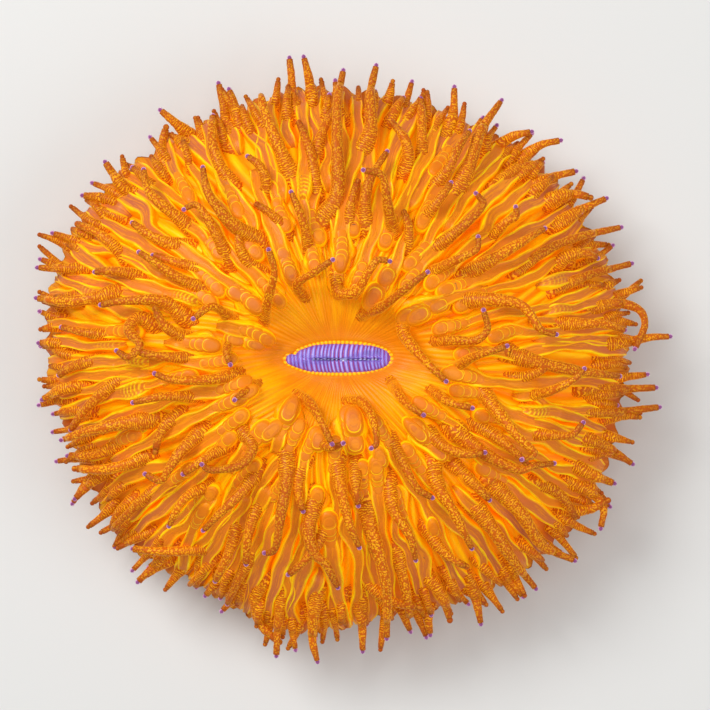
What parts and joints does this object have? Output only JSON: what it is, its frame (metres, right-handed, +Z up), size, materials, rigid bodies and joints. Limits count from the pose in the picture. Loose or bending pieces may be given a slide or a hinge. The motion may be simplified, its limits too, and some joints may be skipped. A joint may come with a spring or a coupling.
{
  "type": "mushroom coral",
  "caption": "Domed free-living mushroom coral: a round fleshy polyp with a long oval mouth, radiating ridges and finger-like tentacles, resting on its flat underside.",
  "frame": {"origin": "centre of the flat underside, straight below the middle of the mouth", "axes": "+Z up through the mouth; +X along the mouth's long way; +Y across the mouth"},
  "size_m": [0.0586, 0.0561, 0.0193],
  "materials": {
    "body_flesh": "wet glowing orange and yellow flesh, mauve on the ridge tops",
    "mouth_flesh": "wet lavender pleats with purple grooves",
    "tentacle_flesh": "wet orange-brown flesh set with fine pale granules, lavender at the tip"
  },
  "bodies": {
    "root": {"body": "body_flesh", "mouth": "mouth_flesh", "tentacle_01": "tentacle_flesh", "tentacle_02": "tentacle_flesh", "tentacle_03": "tentacle_flesh", "tentacle_04": "tentacle_flesh", "tentacle_05": "tentacle_flesh", "tentacle_06": "tentacle_flesh", "tentacle_07": "tentacle_flesh", "tentacle_08": "tentacle_flesh", "tentacle_09": "tentacle_flesh", "tentacle_10": "tentacle_flesh", "tentacle_11": "tentacle_flesh", "tentacle_12": "tentacle_flesh", "tentacle_13": "tentacle_flesh", "tentacle_14": "tentacle_flesh", "tentacle_15": "tentacle_flesh", "tentacle_16": "tentacle_flesh", "tentacle_17": "tentacle_flesh", "tentacle_18": "tentacle_flesh", "tentacle_19": "tentacle_flesh", "tentacle_20": "tentacle_flesh", "tentacle_21": "tentacle_flesh", "tentacle_22": "tentacle_flesh", "tentacle_23": "tentacle_flesh", "tentacle_24": "tentacle_flesh", "tentacle_25": "tentacle_flesh", "tentacle_26": "tentacle_flesh", "tentacle_27": "tentacle_flesh", "tentacle_28": "tentacle_flesh", "tentacle_29": "tentacle_flesh", "tentacle_30": "tentacle_flesh", "tentacle_31": "tentacle_flesh", "tentacle_32": "tentacle_flesh", "tentacle_33": "tentacle_flesh", "tentacle_34": "tentacle_flesh", "tentacle_35": "tentacle_flesh", "tentacle_36": "tentacle_flesh", "tentacle_37": "tentacle_flesh", "tentacle_38": "tentacle_flesh", "tentacle_39": "tentacle_flesh", "tentacle_40": "tentacle_flesh", "tentacle_41": "tentacle_flesh", "tentacle_42": "tentacle_flesh", "tentacle_43": "tentacle_flesh", "tentacle_44": "tentacle_flesh", "tentacle_45": "tentacle_flesh", "tentacle_46": "tentacle_flesh", "tentacle_47": "tentacle_flesh", "tentacle_48": "tentacle_flesh", "tentacle_49": "tentacle_flesh", "tentacle_50": "tentacle_flesh", "tentacle_51": "tentacle_flesh", "tentacle_52": "tentacle_flesh", "tentacle_53": "tentacle_flesh", "tentacle_54": "tentacle_flesh", "tentacle_55": "tentacle_flesh", "tentacle_56": "tentacle_flesh", "tentacle_57": "tentacle_flesh", "tentacle_58": "tentacle_flesh"}
  },
  "joints": []
}
